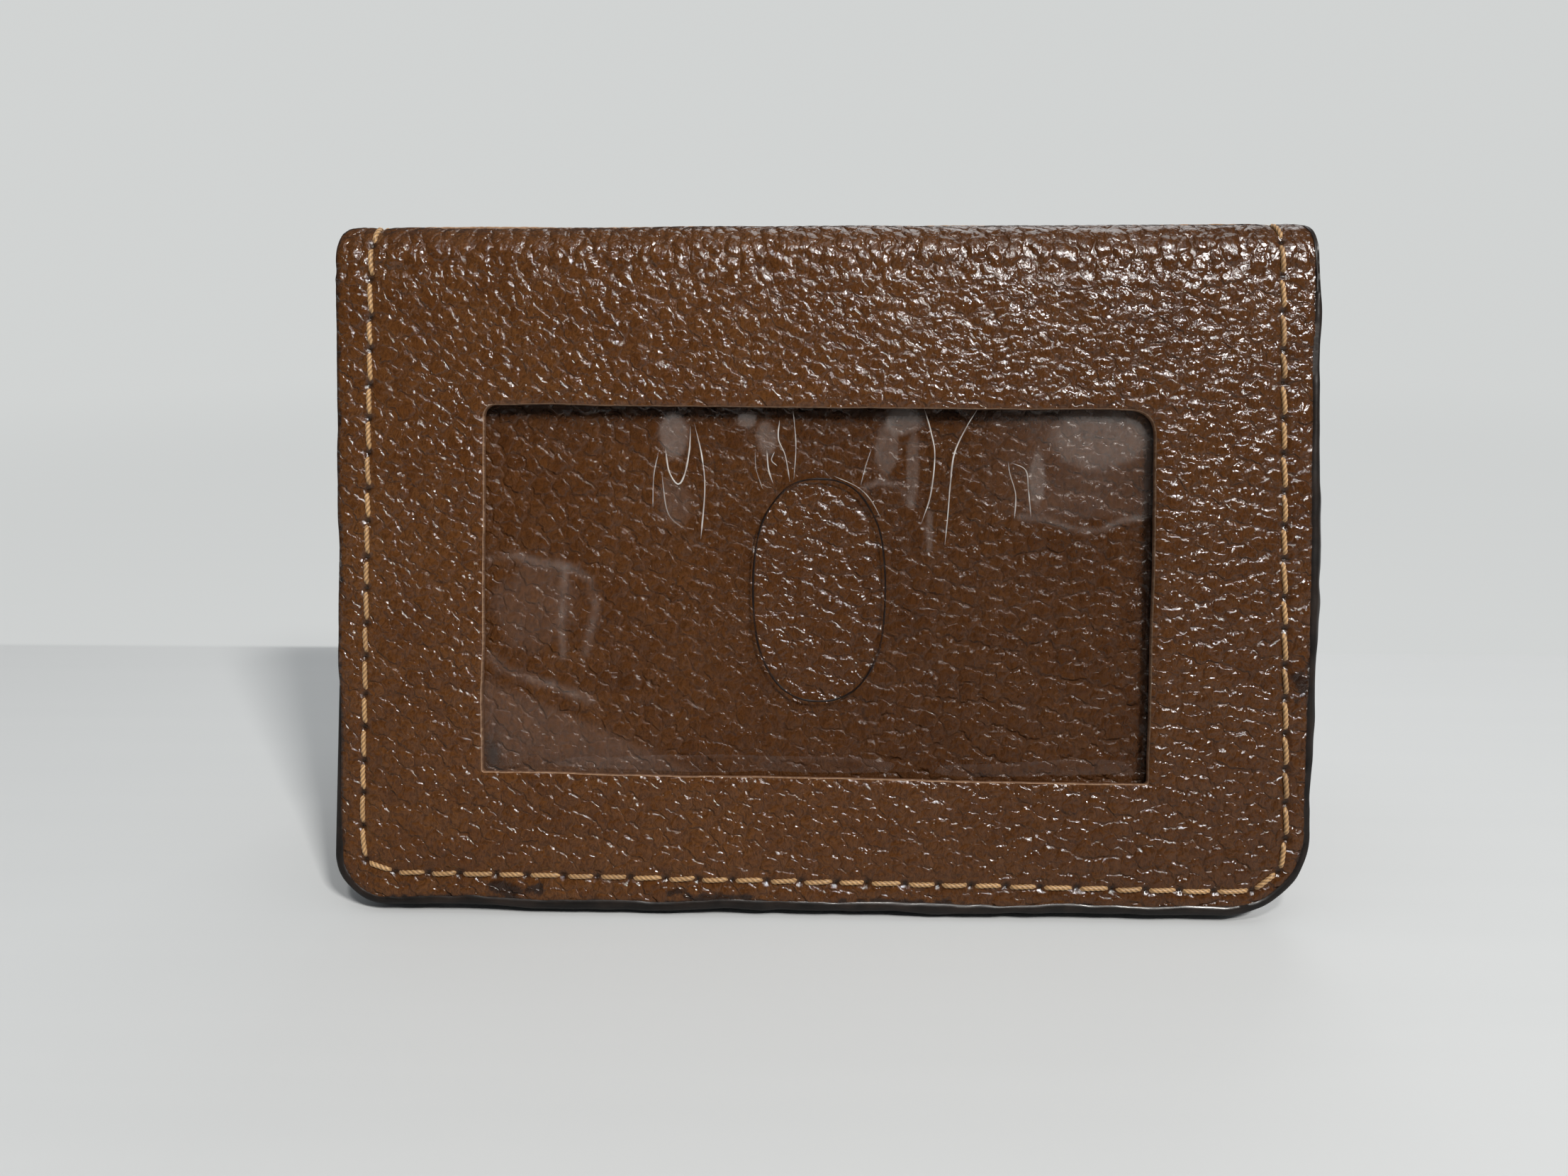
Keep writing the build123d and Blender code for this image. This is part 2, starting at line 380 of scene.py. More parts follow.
def coarse_fill(x, s, border, edges, inside, coarse=2.5):
    """Triangles between the border points over a coarse grid, finer where the fold curves."""
    gx = np.arange(x.min() + coarse / 2, x.max(), coarse)
    gs = np.arange(s.min() + coarse / 2, s.max(), coarse)
    curved = np.arange(HALF - 0.5, HALF + FOLD_LENGTH + 0.5, 0.7)
    gs = np.concatenate([gs[(gs < curved[0]) | (gs > curved[-1])], curved])
    gx, gs = (part.ravel() for part in np.meshgrid(gx, gs))
    clear = (inside(gx, gs) > 0.6) & (gs > s.min() + 0.3) & (gs < s.max() - 0.3)
    gx, gs = gx[clear], gs[clear]
    points = np.concatenate([np.stack([x[border], s[border]], -1), np.stack([gx, gs], -1)])
    position = {int(v): k for k, v in enumerate(border)}
    loops = [(position[int(a)], position[int(b)]) for a, b in edges]
    found = delaunay_2d_cdt([Vector(p) for p in points], loops, [], 0, 1e-7)
    triangles = []
    origin = [o[0] if o else -1 for o in found[3]]
    for face in found[2]:
        middle = np.mean([found[0][k][:] for k in face], axis=0)
        if min(origin[k] for k in face) >= 0 and inside(middle[0], middle[1]) > 0:
            triangles.append([origin[k] for k in face])
    return gx, gs, np.array(triangles)


# ---------------------------------------------------------------- leather surface

def corner(x, s, radius, start, count):
    """Points of a quarter turn round (x, s) from the angle `start`, without the first."""
    turn = np.linspace(start, start + pi / 2, count)[1:]
    return [(x + radius * cos(t), s + radius * sin(t)) for t in turn]


def seam_route():
    """Dense points (x, s) of the front seam: down the left from the fold's top, along, and up the right."""
    left, right = SEAM_CORNERS
    x0 = -SEAM_LEFT + SEAM_DRIFT * left
    x1 = SEAM_RIGHT - SEAM_DRIFT * right
    points = [(-SEAM_LEFT + SEAM_DRIFT * y, y) for y in np.linspace(TOP, SEAM_INSET + left, 240)]
    points += corner(x0 + left, SEAM_LOW + left, left, pi, 30)
    points += [(x, SEAM_LOW - SEAM_SLOPE * (x - x0)) for x in np.linspace(x0 + left, x1 - right, 300)[1:]]
    low = points[-1][1]
    points += corner(x1 - right, low + right, right, 1.5 * pi, 40)
    points += [(SEAM_RIGHT - SEAM_DRIFT * y, y) for y in np.linspace(low + right, TOP, 240)[1:]]
    return np.array(points)


def along(points, distances):
    """Points at these distances along a polyline."""
    steps = np.hypot(*np.diff(points, axis=0).T)
    total = np.concatenate([[0], np.cumsum(steps)])
    return np.stack([np.interp(distances, total, points[:, k]) for k in range(2)], -1)


def length_of(points):
    """Length of a polyline."""
    return np.hypot(*np.diff(points, axis=0).T).sum()


def seam_holes():
    """Needle holes of the front seam, evenly spaced with a little hand-sewn scatter."""
    route = seam_route()
    total = length_of(route)
    count = int(round(total / PITCH))
    distances = np.linspace(0, total, count + 1)
    distances[1:-1] += 0.12 * (hashed(np.arange(1, count), np.zeros(count - 1), 51) - 0.5) * PITCH
    return along(route, distances)


FRONT_HOLES = seam_holes()
REAR_HOLES = np.stack([FRONT_HOLES[:, 0], TOTAL - FRONT_HOLES[:, 1]], -1)


def segment_distance(x, s, points):
    """Distance from each place to a polyline."""
    best = np.full(x.shape, 1e9)
    for (x0, s0), (x1, s1) in zip(points[:-1], points[1:]):
        dx, ds = x1 - x0, s1 - s0
        t = np.clip(((x - x0) * dx + (s - s0) * ds) / (dx * dx + ds * ds), 0, 1)
        best = np.minimum(best, (x - x0 - t * dx) ** 2 + (s - s0 - t * ds) ** 2)
    return np.sqrt(best)


def nearest_point(x, s, points):
    """Distance from each place to the nearest of some points."""
    best = np.full(x.shape, 1e9)
    for x0, s0 in points:
        best = np.minimum(best, (x - x0) ** 2 + (s - s0) ** 2)
    return np.sqrt(best)


def fold_share(s):
    """One on the fold, falling to none a few millimetres down each half."""
    return smooth((from_bottom(s) - LAYERS_TOP + 1.0) / 3.0)


def right_share(x):
    """None at the left, rising to one at the right, where the grain lies flatter and the shader paints shade.
    """
    return smooth((x + 10) / 45)


def grain(x, s, seed):
    """Height in mm of the full-grain leather's pebbled relief."""
    fold, right = fold_share(s), right_share(x)
    low = smooth((30 - from_bottom(s)) / 25) * (1 - right)
    angle = radians(-40) + radians(24) * right + radians(17) * noise(x / 11, s / 11, seed + 2)
    angle = angle * (1 - fold) + radians(-88) * fold
    stretch = 1.19 - 0.08 * right + 0.03 * fold + 0.04 * noise(x / 8, s / 8, seed + 3)
    warped_x = x + 0.34 * noise(x / 1.7, s / 1.7, seed + 4) + 0.9 * noise(x / 9, s / 9, seed + 5)
    warped_s = s + 0.34 * noise(x / 1.7, s / 1.7, seed + 6) + 0.9 * noise(x / 9, s / 9, seed + 8)
    reach, border, lengthwise = pebbles(warped_x, warped_s, PEBBLE, angle, stretch, seed)
    _, fine_border, _ = pebbles(warped_x, warped_s, FINE_PEBBLE, angle, stretch * 0.96, seed + 20)
    crease = bell(border, 0.17)
    strength = 0.42 + 0.58 * smooth((lengthwise - 0.25) / 0.55)
    strength = strength * (0.72 + 0.28 * noise(x / 2.3, s / 2.3, seed + 9))
    strength = strength * (1 - fold) + (0.85 + 0.15 * lengthwise) * fold
    fine = bell(fine_border, 0.15) * (0.30 + 0.25 * noise(x / 3, s / 3, seed + 10))
    deep = 0.135 + 0.02 * right + 0.02 * fold - 0.02 * low
    dome = 0.070 * (1 - np.clip(reach / 0.75, 0, 1) ** 2) * (1 + 0.5 * fold + 0.4 * right)
    mottle = 0.012 * noise(x / 0.55, s / 0.55, seed + 11)
    return RELIEF * (dome - deep * crease * strength - 0.035 * fine * (1 - crease) + mottle - 0.03)


def pressed_line(x, s):
    """The line that the layers' top edge presses through the leather, faint but at the left."""
    y = from_bottom(s)
    line_at = LAYERS_TOP + 0.1 - 0.004 * x + 0.12 * noise(x / 6, s / 60, 61)
    clear = 0.20 + 0.80 * smooth((-x - 36) / 8) + 0.25 * smooth((x - 30) / 10)
    return clear * (0.10 * bell(y - line_at, 0.30) - 0.13 * bell(y - line_at - 0.85, 0.5))


def cover_height(x, s, holes, seed):
    """Outer face of the cover with its pressed seam: (height, needle holes 0 to 1, groove 0 to 1)."""
    lumps = 0.10 * noise(x / 12, s / 9, seed + 30) + 0.05 * noise(x / 5, s / 5, seed + 31)
    seam = segment_distance(x, s, holes)
    groove, shoulder = bell(seam, SEAM_GROOVE[0]), bell(seam, SEAM_SHOULDER[0])
    dots = bell(nearest_point(x, s, holes), NEEDLE_HOLE[0])
    rounding = -ROUNDED_EDGE[1] * fade(outline_inside(x, s), ROUNDED_EDGE[0])
    height = grain(x, s, seed) * (1 - 0.65 * groove) + lumps * (1 - 0.5 * shoulder)
    height = height - SEAM_SHOULDER[1] * shoulder - SEAM_GROOVE[1] * groove - NEEDLE_HOLE[1] * dots
    height = height + rounding + pressed_line(x, s)
    if seed == FRONT_SEED:
        height = height - WINDOW_LIP[1] * fade(window_outside(x, s), WINDOW_LIP[0])
    return height, dots, groove


# Smears of edge paint: middle, half-size, seed
SMEARS = [
    ((-32.4, 1.5), (2.0, 0.8), 81),
    ((-29.6, 1.3), (1.1, 0.7), 82),
    ((-14.5, 1.2), (1.6, 0.55), 83),
    ((-10.0, 0.8), (4.0, 0.45), 84),
    ((8.0, 0.5), (6.0, 0.4), 86),
    ((48.9, 23.5), (0.9, 1.8), 85),
]


def smudges(x, s):
    """Where edge paint has strayed onto the face: along the rim and in a few smears below the seam."""
    inside = outline_inside(x, s)
    ragged = 0.30 + 0.26 * noise(x / 2.1, s / 2.1, 71) + 0.16 * noise(x / 0.6, s / 0.6, 72)
    paint = smooth((ragged - inside) / 0.22 + 0.5)
    for (cx, cs), (rx, rs), seed in SMEARS:
        spot = 1 - np.hypot((x - cx) / rx, (s - cs) / rs) + 0.55 * noise(x / 0.9, s / 0.9, seed)
        paint = np.maximum(paint, 0.9 * smooth(spot / 0.35))
    return paint


def make_cover(name, s_lines, seed, holes, inside, materials):
    """Half of the outer leather, grained on its outer face."""
    def outer(x, s):
        return cover_height(x, s, holes, seed)[0]

    def extra(x, s):
        _, dots, groove = cover_height(x, s, holes, seed)
        shares = {"right": right_share(x), "fold": fold_share(s)}
        return shares | {"dots": dots, "paint": smudges(x, s), "seam": groove}

    return panel(name, across_lines(0.24), s_lines, inside, outer, flat_face(-COVER), materials, extra)


def front_inside(x, s):
    """Distance inside the front half's leather, which the window is cut out of."""
    return np.minimum(outline_inside(x, s), window_outside(x, s))


# ---------------------------------------------------------------- layers behind the cover

def depth_behind(y):
    """Depth of the innermost face at a height above the bottom edge."""
    depth = COVER + 2 * LAYER - (2 * LAYER - LINING_ON_FOLD) * smooth((y - LAYERS_TOP + 0.15) / 0.3)
    for top in (UPPER_POCKET, LOWER_POCKET):
        depth = depth + LAYER * (1 - smooth((y - top + 0.15) / 0.3))
    return depth


def layer_inside(top, front, notch=True):
    """Shape of a layer on one half, up to `top`, with a rounded thumb notch in its top edge."""
    def inside(x, s):
        y = s if front else TOTAL - s
        edge = top - y
        if notch:
            bite = (np.hypot(x / NOTCH_HALF, (y - top) / NOTCH_DEPTH) - 1) * NOTCH_DEPTH
            edge = np.minimum(edge, bite)
        return np.minimum(outline_inside(x, s) + 0.05, edge + 0.03 * noise(x / 4, s / 4, 91))
    return inside


def layer_lines(top, front, step):
    """Grid lines from just below the bottom edge to just above `top`, on one half."""
    low, high = -0.5, top + 0.4
    return lines(low, high, step) if front else lines(TOTAL - high, TOTAL - low, step)


def pocket(name, top, index, front, materials, notch=True):
    """A thin leather pocket or panel; its grained side faces the middle of the wallet."""
    near, far = COVER + index * LAYER, COVER + (index + 1) * LAYER
    inside = layer_inside(top, front, notch)

    def outer(x, s):
        height = 0.45 * grain(x, s, POCKET_SEED + 10 * index)
        return -far - (height - 0.09 * fade(inside(x, s), 0.3) - 0.02)

    def extra(x, s):
        return {"paint": fade(inside(x, s), 0.25)}

    up = layer_lines(top, front, 0.4)
    return panel(name, across_lines(0.4), up, inside, outer, flat_face(-near), materials, extra)


def backing(name, materials):
    """Panel behind the window: its grained side is what the window and the thumb hole show."""
    near, far = COVER + LAYER, COVER + 2 * LAYER

    def outer(x, s):
        sag = 0.06 * noise(x / 15, s / 12, BACKING_SEED + 1)
        return -near + grain(x * 0.98, s, BACKING_SEED) + sag - 0.03

    def extra(x, s):
        # Painted shadow cast by the window's top and right cut edges, and a dark spot at the window's lower
        # left corner where the film crumples; they reach the shader as 'paint', and 'right' darkens the panel
        # towards the right as painted shade
        painted_shadow_top = fade(WINDOW_CENTRE[1] + WINDOW_HALF[1] - 0.4 - s, 0.8, 9)
        painted_shadow_right = fade(WINDOW_CENTRE[0] + WINDOW_HALF[0] - 0.2 - x, 0.7, 9)
        crumpled = bell(np.hypot((x + 34.3) / 0.9, (s - 15.2) / 2.1), 1)
        shade = 0.9 * np.maximum(np.maximum(painted_shadow_top, painted_shadow_right), 1.1 * crumpled)
        return {"right": smooth((x + 25) / 40), "paint": shade}

    inside = layer_inside(LAYERS_TOP, True, False)
    up = layer_lines(LAYERS_TOP, True, 0.3)
    return panel(name, across_lines(0.32), up, inside, outer, flat_face(-far), materials, extra)


def lining(name, front, materials):
    """Lining cloth from the bottom edge to the top of the fold, cut away round the window in front."""
    low, high = (-0.5, TOP) if front else (TOP, TOTAL + 0.5)

    def inside(x, s):
        edge = outline_inside(x, s) - 0.05
        return np.minimum(edge, window_outside(x, s) - FILM_MARGIN - LINING_GAP) if front else edge

    def outer(x, s):
        thickness = LAYER - (LAYER - LINING_ON_FOLD) * smooth((from_bottom(s) - LAYERS_TOP) / 0.6)
        quilt = 0.02 * noise(x / 3, s / 3, 95) * smooth((thickness - 0.38) / 0.02)
        return -COVER - thickness + quilt

    up = lines(low, high, 0.4)
    piece = panel(name, across_lines(0.5), up, inside, outer, flat_face(-COVER), materials, rim=1)
    cut = TOP * WIDTH
    if front:
        wide, tall = (2 * (half + FILM_MARGIN + LINING_GAP) for half in WINDOW_HALF)
        cut = cut - wide * tall
    return piece


# ---------------------------------------------------------------- film

# Places of painted glare, soft reflections of the lights on the wavy film: middle, half-size, strength
GLARE_PATCHES = [
    ((-14.9, 48.6), (1.5, 2.6), 1.5),
    ((-15.0, 41.6), (1.7, 2.6), 0.5),
    ((-7.5, 50.3), (1.0, 0.9), 1.4),
    ((-5.3, 48.2), (1.2, 2.2), 1.2),
    ((6.9, 47.6), (1.1, 2.8), 0.9),
    ((8.6, 50.2), (2.0, 1.4), 1.1),
    ((9.7, 45.4), (0.7, 3.8), 0.8),
    ((11.4, 38.6), (0.4, 2.4), 0.9),
    ((22.4, 44.0), (0.85, 3.3), 1.1),
    ((28.8, 48.2), (5.6, 3.0), 0.9),
    ((-29.2, 31.2), (5.2, 4.8), 0.35),
]
# Soft lines of painted glare: points, half-width, strength
GLARE_LINES = [
    ([(-34.1, 35.8), (-31.9, 36.2), (-29.0, 35.4), (-26.1, 35.1), (-23.8, 33.6), (-23.2, 30.7),
      (-24.3, 26.1)], 0.45, 1.2),
    ([(-26.5, 34.7), (-26.8, 29.2), (-26.7, 25.5)], 0.4, 1.0),
    ([(-34.5, 25.6), (-32.3, 24.1), (-29.0, 22.9), (-26.8, 22.2), (-23.6, 20.9)], 0.5, 1.3),
    ([(4.8, 43.3), (6.3, 44.0), (8.1, 43.5), (9.2, 42.2), (9.6, 41.4)], 0.30, 1.6),
    ([(20.6, 40.4), (23.4, 40.0), (27.0, 39.0), (28.8, 39.0), (31.0, 40.0), (33.2, 40.3)], 0.30, 1.5),
]
# Sharp creases, raised ridges painted pale as glints: points, lift, half-width, whiteness of the painted
# glint
FILM_CREASES = [
    ([(-15.9, 47.2), (-15.5, 44.9), (-14.6, 43.6), (-13.9, 44.6), (-13.4, 47.2), (-13.3, 49.6)],
     0.16, 0.085, 1.0),
    ([(-12.9, 49.9), (-12.1, 46.4), (-11.8, 43.0), (-12.2, 37.9)], 0.14, 0.065, 0.9),
    ([(-16.6, 47.0), (-17.1, 44.5), (-17.2, 41.2)], 0.10, 0.05, 0.55),
    ([(-16.3, 44.8), (-15.6, 40.6), (-13.7, 38.8)], 0.08, 0.06, 0.40),
    ([(-6.6, 47.0), (-6.5, 45.2), (-5.8, 43.1)], 0.10, 0.05, 0.55),
    ([(-5.4, 47.1), (-5.2, 45.1), (-4.7, 43.6)], 0.12, 0.065, 0.85),
    ([(-4.1, 50.2), (-4.2, 48.3), (-3.5, 46.6), (-3.0, 43.9)], 0.12, 0.06, 0.80),
    ([(-2.7, 51.3), (-2.4, 47.6), (-2.6, 44.1)], 0.12, 0.055, 0.75),
    ([(-4.6, 47.0), (-4.9, 46.1), (-4.3, 45.5)], 0.06, 0.05, 0.60),
    ([(5.4, 47.3), (4.8, 45.5), (4.3, 43.5)], 0.08, 0.05, 0.50),
    ([(10.8, 51.4), (11.5, 49.0), (11.9, 46.6), (11.5, 42.6), (10.6, 39.7)], 0.14, 0.065, 0.95),
    ([(16.2, 51.3), (15.1, 49.5), (13.9, 46.8), (13.5, 43.6), (13.3, 40.8), (13.0, 37.4)], 0.14, 0.065, 0.90),
    ([(19.4, 45.9), (19.6, 44.7), (20.2, 42.6), (20.1, 40.1)], 0.10, 0.055, 0.70),
    ([(19.7, 45.9), (21.2, 45.1), (21.5, 43.1), (21.8, 40.4)], 0.10, 0.055, 0.70),
    ([(1.5, 44.5), (3.9, 43.4), (5.3, 42.1), (6.4, 40.2)], 0.06, 0.05, 0.60),
]


def near_line(x, s, points, width):
    """One on a polyline, falling softly to none beside it."""
    return bell(segment_distance(x, s, points), width)


def film_relief(x, s):
    """Height of the wrinkled film above its flat rest, and its painted glare, which stands for soft
    reflections of the lights.
    """
    into = -window_outside(x, s)
    mask = smooth(into / 2.5)
    height = mask * (0.14 * noise(x / 14, s / 10, 111) + 0.05 * noise(x / 5, s / 7, 112) + 0.12)
    haze = np.zeros(x.shape)
    for (cx, cs), (rx, rs), strength in GLARE_PATCHES:
        reach = np.hypot((x - cx) / rx, (s - cs) / rs) + 0.22 * noise(x / 1.6, s / 2.6, 113)
        haze = haze + strength * smooth((1.1 - reach) / 0.35)
    for points, width, strength in GLARE_LINES:
        haze = haze + strength * near_line(x, s, points, width) * (0.7 + 0.5 * noise(x / 1.2, s / 1.2, 117))
    for points, lift, _, _ in FILM_CREASES:
        height = height + lift * near_line(x, s, points, 0.55) * smooth(into / 0.8)
    # Painted glare in the window's upper right corner
    corner = smooth((x - 15) / 9) * smooth((s - 39.8) / 1.0)
    haze = haze + corner * (0.30 + 0.20 * noise(x / 4, s / 3, 114))
    # Painted glare in a band low at the left of the window
    low = smooth((23.5 - 0.42 * (x + 34) - s) / 1.5) * smooth((-8 - x) / 12)
    haze = haze + 0.5 * low
    crumple = bell(np.hypot((x + 34.0) / 1.3, (s - 16.2) / 3.0), 1)
    height = height + 0.35 * crumple * noise(x / 0.6, s / 1.0, 116)
    return height, np.clip(haze, 0, 2.0)


def smooth_path(points, count):
    """Even points along a smooth curve through a few of them."""
    points = np.array(points)
    ends = np.concatenate([[2 * points[0] - points[1]], points, [2 * points[-1] - points[-2]]])
    found = []
    for a, b, c, d in zip(ends[:-3], ends[1:-2], ends[2:-1], ends[3:]):
        t = np.linspace(0, 1, 16, endpoint=False)[:, None]
        found.append(0.5 * (2 * b + (c - a) * t + (2 * a - 5 * b + 4 * c - d) * t**2
                            + (3 * b - a - 3 * c + d) * t**3))
    path = np.concatenate(found + [points[-1:]])
    return along(path, np.linspace(0, length_of(path), count))


def oval_path():
    """Points round the film's thumb hole."""
    turn = np.linspace(0, 2 * pi, 120)
    u, v = (np.sign(wave) * np.abs(wave) ** (2 / HOLE_POWER) for wave in (np.cos(turn), np.sin(turn)))
    x, s = HOLE_CENTRE[0] + (HOLE_HALF[0] + 0.05) * u, HOLE_CENTRE[1] + (HOLE_HALF[1] + 0.08) * v
    return np.stack(snap(x, s, hole_outside), -1)


def make_film_lines(name, materials):
    """The film's sharp creases and the cut edge of its thumb hole, as fine ridges on its surface, painted
    pale as glints along the creases and dark as shadow round the hole.
    """
    items = [(smooth_path(points, 60), width, white, 1.0) for points, _, width, white in FILM_CREASES]
    # Round the thumb hole the ridge is painted dark as the shadow of the film's cut edge
    items.append((oval_path(), 0.10, 1.1, 0.0))
    verts, faces, marks, shades = [], [], [], []
    for path, width, white, shade in items:
        count = len(path)
        tangent = np.gradient(path, axis=0)
        tangent /= np.hypot(*tangent.T)[:, None] + 1e-9
        side = np.stack([-tangent[:, 1], tangent[:, 0]], -1)
        closed = np.allclose(path[0], path[-1])
        taper = np.ones(count) if closed else np.clip(np.sin(np.linspace(0.12, pi - 0.12, count)) * 2.2, 0, 1)
        breadth = width * taper * (1 + 0.35 * noise(path[:, 0] / 0.8, path[:, 1] / 0.8, 118))
        rise = film_relief(path[:, 0], path[:, 1])[0] - COVER - FILM_GAP
        mark = white * (0.35 + 0.65 * taper) * (0.85 + 0.35 * noise(path[:, 0] / 1.5, path[:, 1] / 1.5, 119))
        start = sum(len(v) for v in verts)
        for offset, lift in ((-1, 0.012), (0, 0.012 + 0.8 * width), (1, 0.012)):
            at = path + side * (offset * breadth)[:, None]
            verts.append(place(at[:, 0], at[:, 1], rise + lift * np.maximum(taper, 0.3)))
            marks.append(mark if offset == 0 or shade == 0 else 0.55 * mark)
            shades.append(np.full(count, shade))
        for low in (start, start + count):
            faces += [(low + k, low + k + 1, low + count + k + 1, low + count + k) for k in range(count - 1)]
    attributes = {"mark": np.concatenate(marks), "shade": np.concatenate(shades)}
    return make_object(name, np.concatenate(verts), faces, None, materials, attributes)


def make_film(name, materials):
    """Clear film with its oval thumb hole, held under the cover's window."""
    def inside(x, s):
        return np.minimum(-window_outside(x, s) + FILM_MARGIN, hole_outside(x, s))

    def outer(x, s):
        lip = 0.10 * fade(hole_outside(x, s), 0.8, 5)
        return -COVER - FILM_GAP + film_relief(x, s)[0] + lip

    def inner(x, s):
        return outer(x, s) - FILM_THICKNESS

    def extra(x, s):
        return {"haze": film_relief(x, s)[1]}

    across, up = (lines(c - half - 4.5, c + half + 4.5, 0.30) for c, half in zip(WINDOW_CENTRE, WINDOW_HALF))
    return panel(name, across, up, inside, outer, inner, materials, extra, rim=2, fine_back=True)


# ---------------------------------------------------------------- threads and edge paint

def tube_faces(rings, sides, offset):
    """Faces of a closed tube whose rings of points follow each other from `offset`."""
    faces = []
    for r in range(rings - 1):
        for k in range(sides):
            a, b = offset + r * sides + k, offset + r * sides + (k + 1) % sides
            faces.append((a, b, b + sides, a + sides))
    faces.append(tuple(offset + k for k in range(sides))[::-1])
    faces.append(tuple(offset + (rings - 1) * sides + k for k in range(sides)))
    return faces


def make_thread(name, holes, surface, outward, materials, seed):
    """Sewn thread: one twisted three-ply length per stitch, diving into the needle hole at each end."""
    rings, sides = 22, 18
    t = np.linspace(0, 1, rings)
    verts, faces, tones, plies = [], [], [], []
    turn = np.linspace(0, 2 * pi, sides, endpoint=False)
    for k, ((x0, s0), (x1, s1)) in enumerate(zip(holes[:-1], holes[1:])):
        span = hypot(x1 - x0, s1 - s0)
        ux, us = (x1 - x0) / span, (s1 - s0) / span
        chance = [float(hashed(np.array(k), np.array(j), seed)) - 0.5 for j in range(5)]
        gap = THREAD_GAP + 0.08 * chance[0]
        run = gap + (span - 2 * gap) * t
        slant = (0.09 + 0.10 * chance[1]) * (2 * t - 1) + 0.10 * chance[2] * np.sin(pi * t)
        x = x0 + ux * run - us * slant
        s = s0 + us * run + ux * slant
        rise = THREAD_DIVE * (1 - np.abs(2 * t - 1) ** 5) - THREAD_DIVE + 0.06 + 0.06 * chance[3]
        centre = surface(x, s) + outward * rise
        twist = 2 * pi * run / THREAD_TWIST + 6 * chance[4]
        radius = THREAD_RADIUS * (1 - 0.18 * np.abs(2 * t - 1) ** 6)
        for r in range(rings):
            lobes = 1 + 0.13 * np.cos(3 * (turn - twist[r]))
            across = radius[r] * lobes * np.cos(turn)
            above = radius[r] * lobes * np.sin(turn) * outward
            verts.append(place(x[r] - us * across, s[r] + ux * across, centre[r] + above))
            tones.append(np.full(sides, 0.5 + chance[3]))
            plies.append(0.5 + 0.5 * np.cos(3 * (turn - twist[r])))
        faces += tube_faces(rings, sides, k * rings * sides)
    verts = np.concatenate(verts)
    attributes = {"tone": np.concatenate(tones), "ply": np.concatenate(plies)}
    return make_object(name, verts, faces, None, materials, attributes)


def edge_route(front):
    """Close points round the leather's cut edge from the fold's top and back, and their outward normals."""
    half = WIDTH / 2
    start, end = -half + CORNER_LEFT, half - CORNER_RIGHT
    points = [(-half, y) for y in lines(TOP, CORNER_LEFT, 0.4)]
    points += corner(start, CORNER_LEFT, CORNER_LEFT, pi, 22)
    points += [(x, 0.0) for x in lines(start, end, 0.4)[1:]]
    points += corner(end, CORNER_RIGHT, CORNER_RIGHT, 1.5 * pi, 32)
    points += [(half, y) for y in lines(CORNER_RIGHT, TOP, 0.4)[1:]]
    x, s = np.array(points).T
    if not front:
        s = TOTAL - s
    ends = s == s[0]
    nx, ns = snap(x, s, outline_inside)
    x, s = nx, np.where(ends, s, ns)
    tx, ts = np.gradient(x), np.gradient(s)
    length = np.hypot(tx, ts)
    side = 1 if front else -1
    return x, s, side * ts / length, side * -tx / length


def make_bead(name, front, materials):
    """Burnished paint round the cut edges, thick where the layers are and thin over the fold."""
    x, s, nx, ns = edge_route(front)
    centre = np.array([0.0, 30.0 if front else TOTAL - 30.0])
    if ((x - centre[0]) * nx + (s - centre[1]) * ns).mean() < 0:
        nx, ns = -nx, -ns
    y = from_bottom(s)
    fold = smooth((y - LAYERS_TOP + 3.5) / 5.0)
    down_side = smooth((y - 2.0) / 8.0)
    swell = 0.62 + 0.38 * np.exp(-((y - 36) / 17.0) ** 2)
    out = (swell * down_side + 0.86 * (1 - down_side)) * (1 - fold) + 0.22 * fold
    out = out + (0.20 * noise(x / 6.5, s / 6.5, 121) + 0.08 * noise(x / 2.0, s / 2.0, 122)) * (1 - 0.7 * fold)
    reach = 3
    run = 2 * reach + 1
    thick = np.convolve(np.pad(depth_behind(y), reach, "edge"), np.ones(run) / run, "valid")
    count = 17
    turn = np.linspace(0, pi, count)
    bulge = np.abs(np.sin(turn)) ** 0.62
    height = np.sign(np.cos(turn)) * np.abs(np.cos(turn)) ** 0.75
    verts = []
    for k in range(len(x)):
        lap = 0.30 + 0.12 * float(noise(x[k] / 1.9, s[k] / 1.9, 123))
        out_k = np.concatenate([[-lap - 0.2], -lap + (out[k] + lap) * bulge, [-lap - 0.2]])
        half = thick[k] / 2
        mid = np.concatenate([[half - 0.32], half * height, [-half + 0.10]])
        ridge = 0.05 * noise(np.full(count + 2, s[k] / 2.2), mid / 0.5 + x[k] / 2.2, 124) * (out_k > 0)
        drop = np.where(mid > 0, -0.10 * (out_k < 0.05) - 0.05, 0.02)
        out_k = out_k + ridge
        verts.append(place(x[k] + nx[k] * out_k, s[k] + ns[k] * out_k, mid - half + drop))
    sides = count + 2
    verts = np.concatenate(verts)
    return make_object(name, verts, tube_faces(len(x), sides, 0), None, materials)


# ---------------------------------------------------------------- materials

ROOM_TONE = (0.640, 0.655, 0.650)
WALL_LINE = 0.059
WORLD_LIGHT = 0.345
DAYLIGHT = (1.0, 0.972, 0.94)
# Area lights: name, azimuth and elevation, distance, size in m, power in W, colour
LIGHTS = (
    ("key", 35, 44, 0.9, (0.11, 0.11), 5.4, DAYLIGHT),
    ("high", 6, 58, 0.9, (0.08, 0.08), 1.9, DAYLIGHT),
    ("ceiling", 10, 80, 1.1, (0.5, 0.3), 0.6, (1.0, 0.99, 0.97)),
    ("back", 165, 40, 1.2, (0.7, 0.7), 1.8, (1, 1, 1)),
)
CAMERA_PLACE, CAMERA_LENS = Vector((-0.17, -119.91, 65.89)), 24.97
CAMERA_YAW, CAMERA_PITCH, CAMERA_ROLL = radians(-1.8), radians(16.87), radians(-0.22)


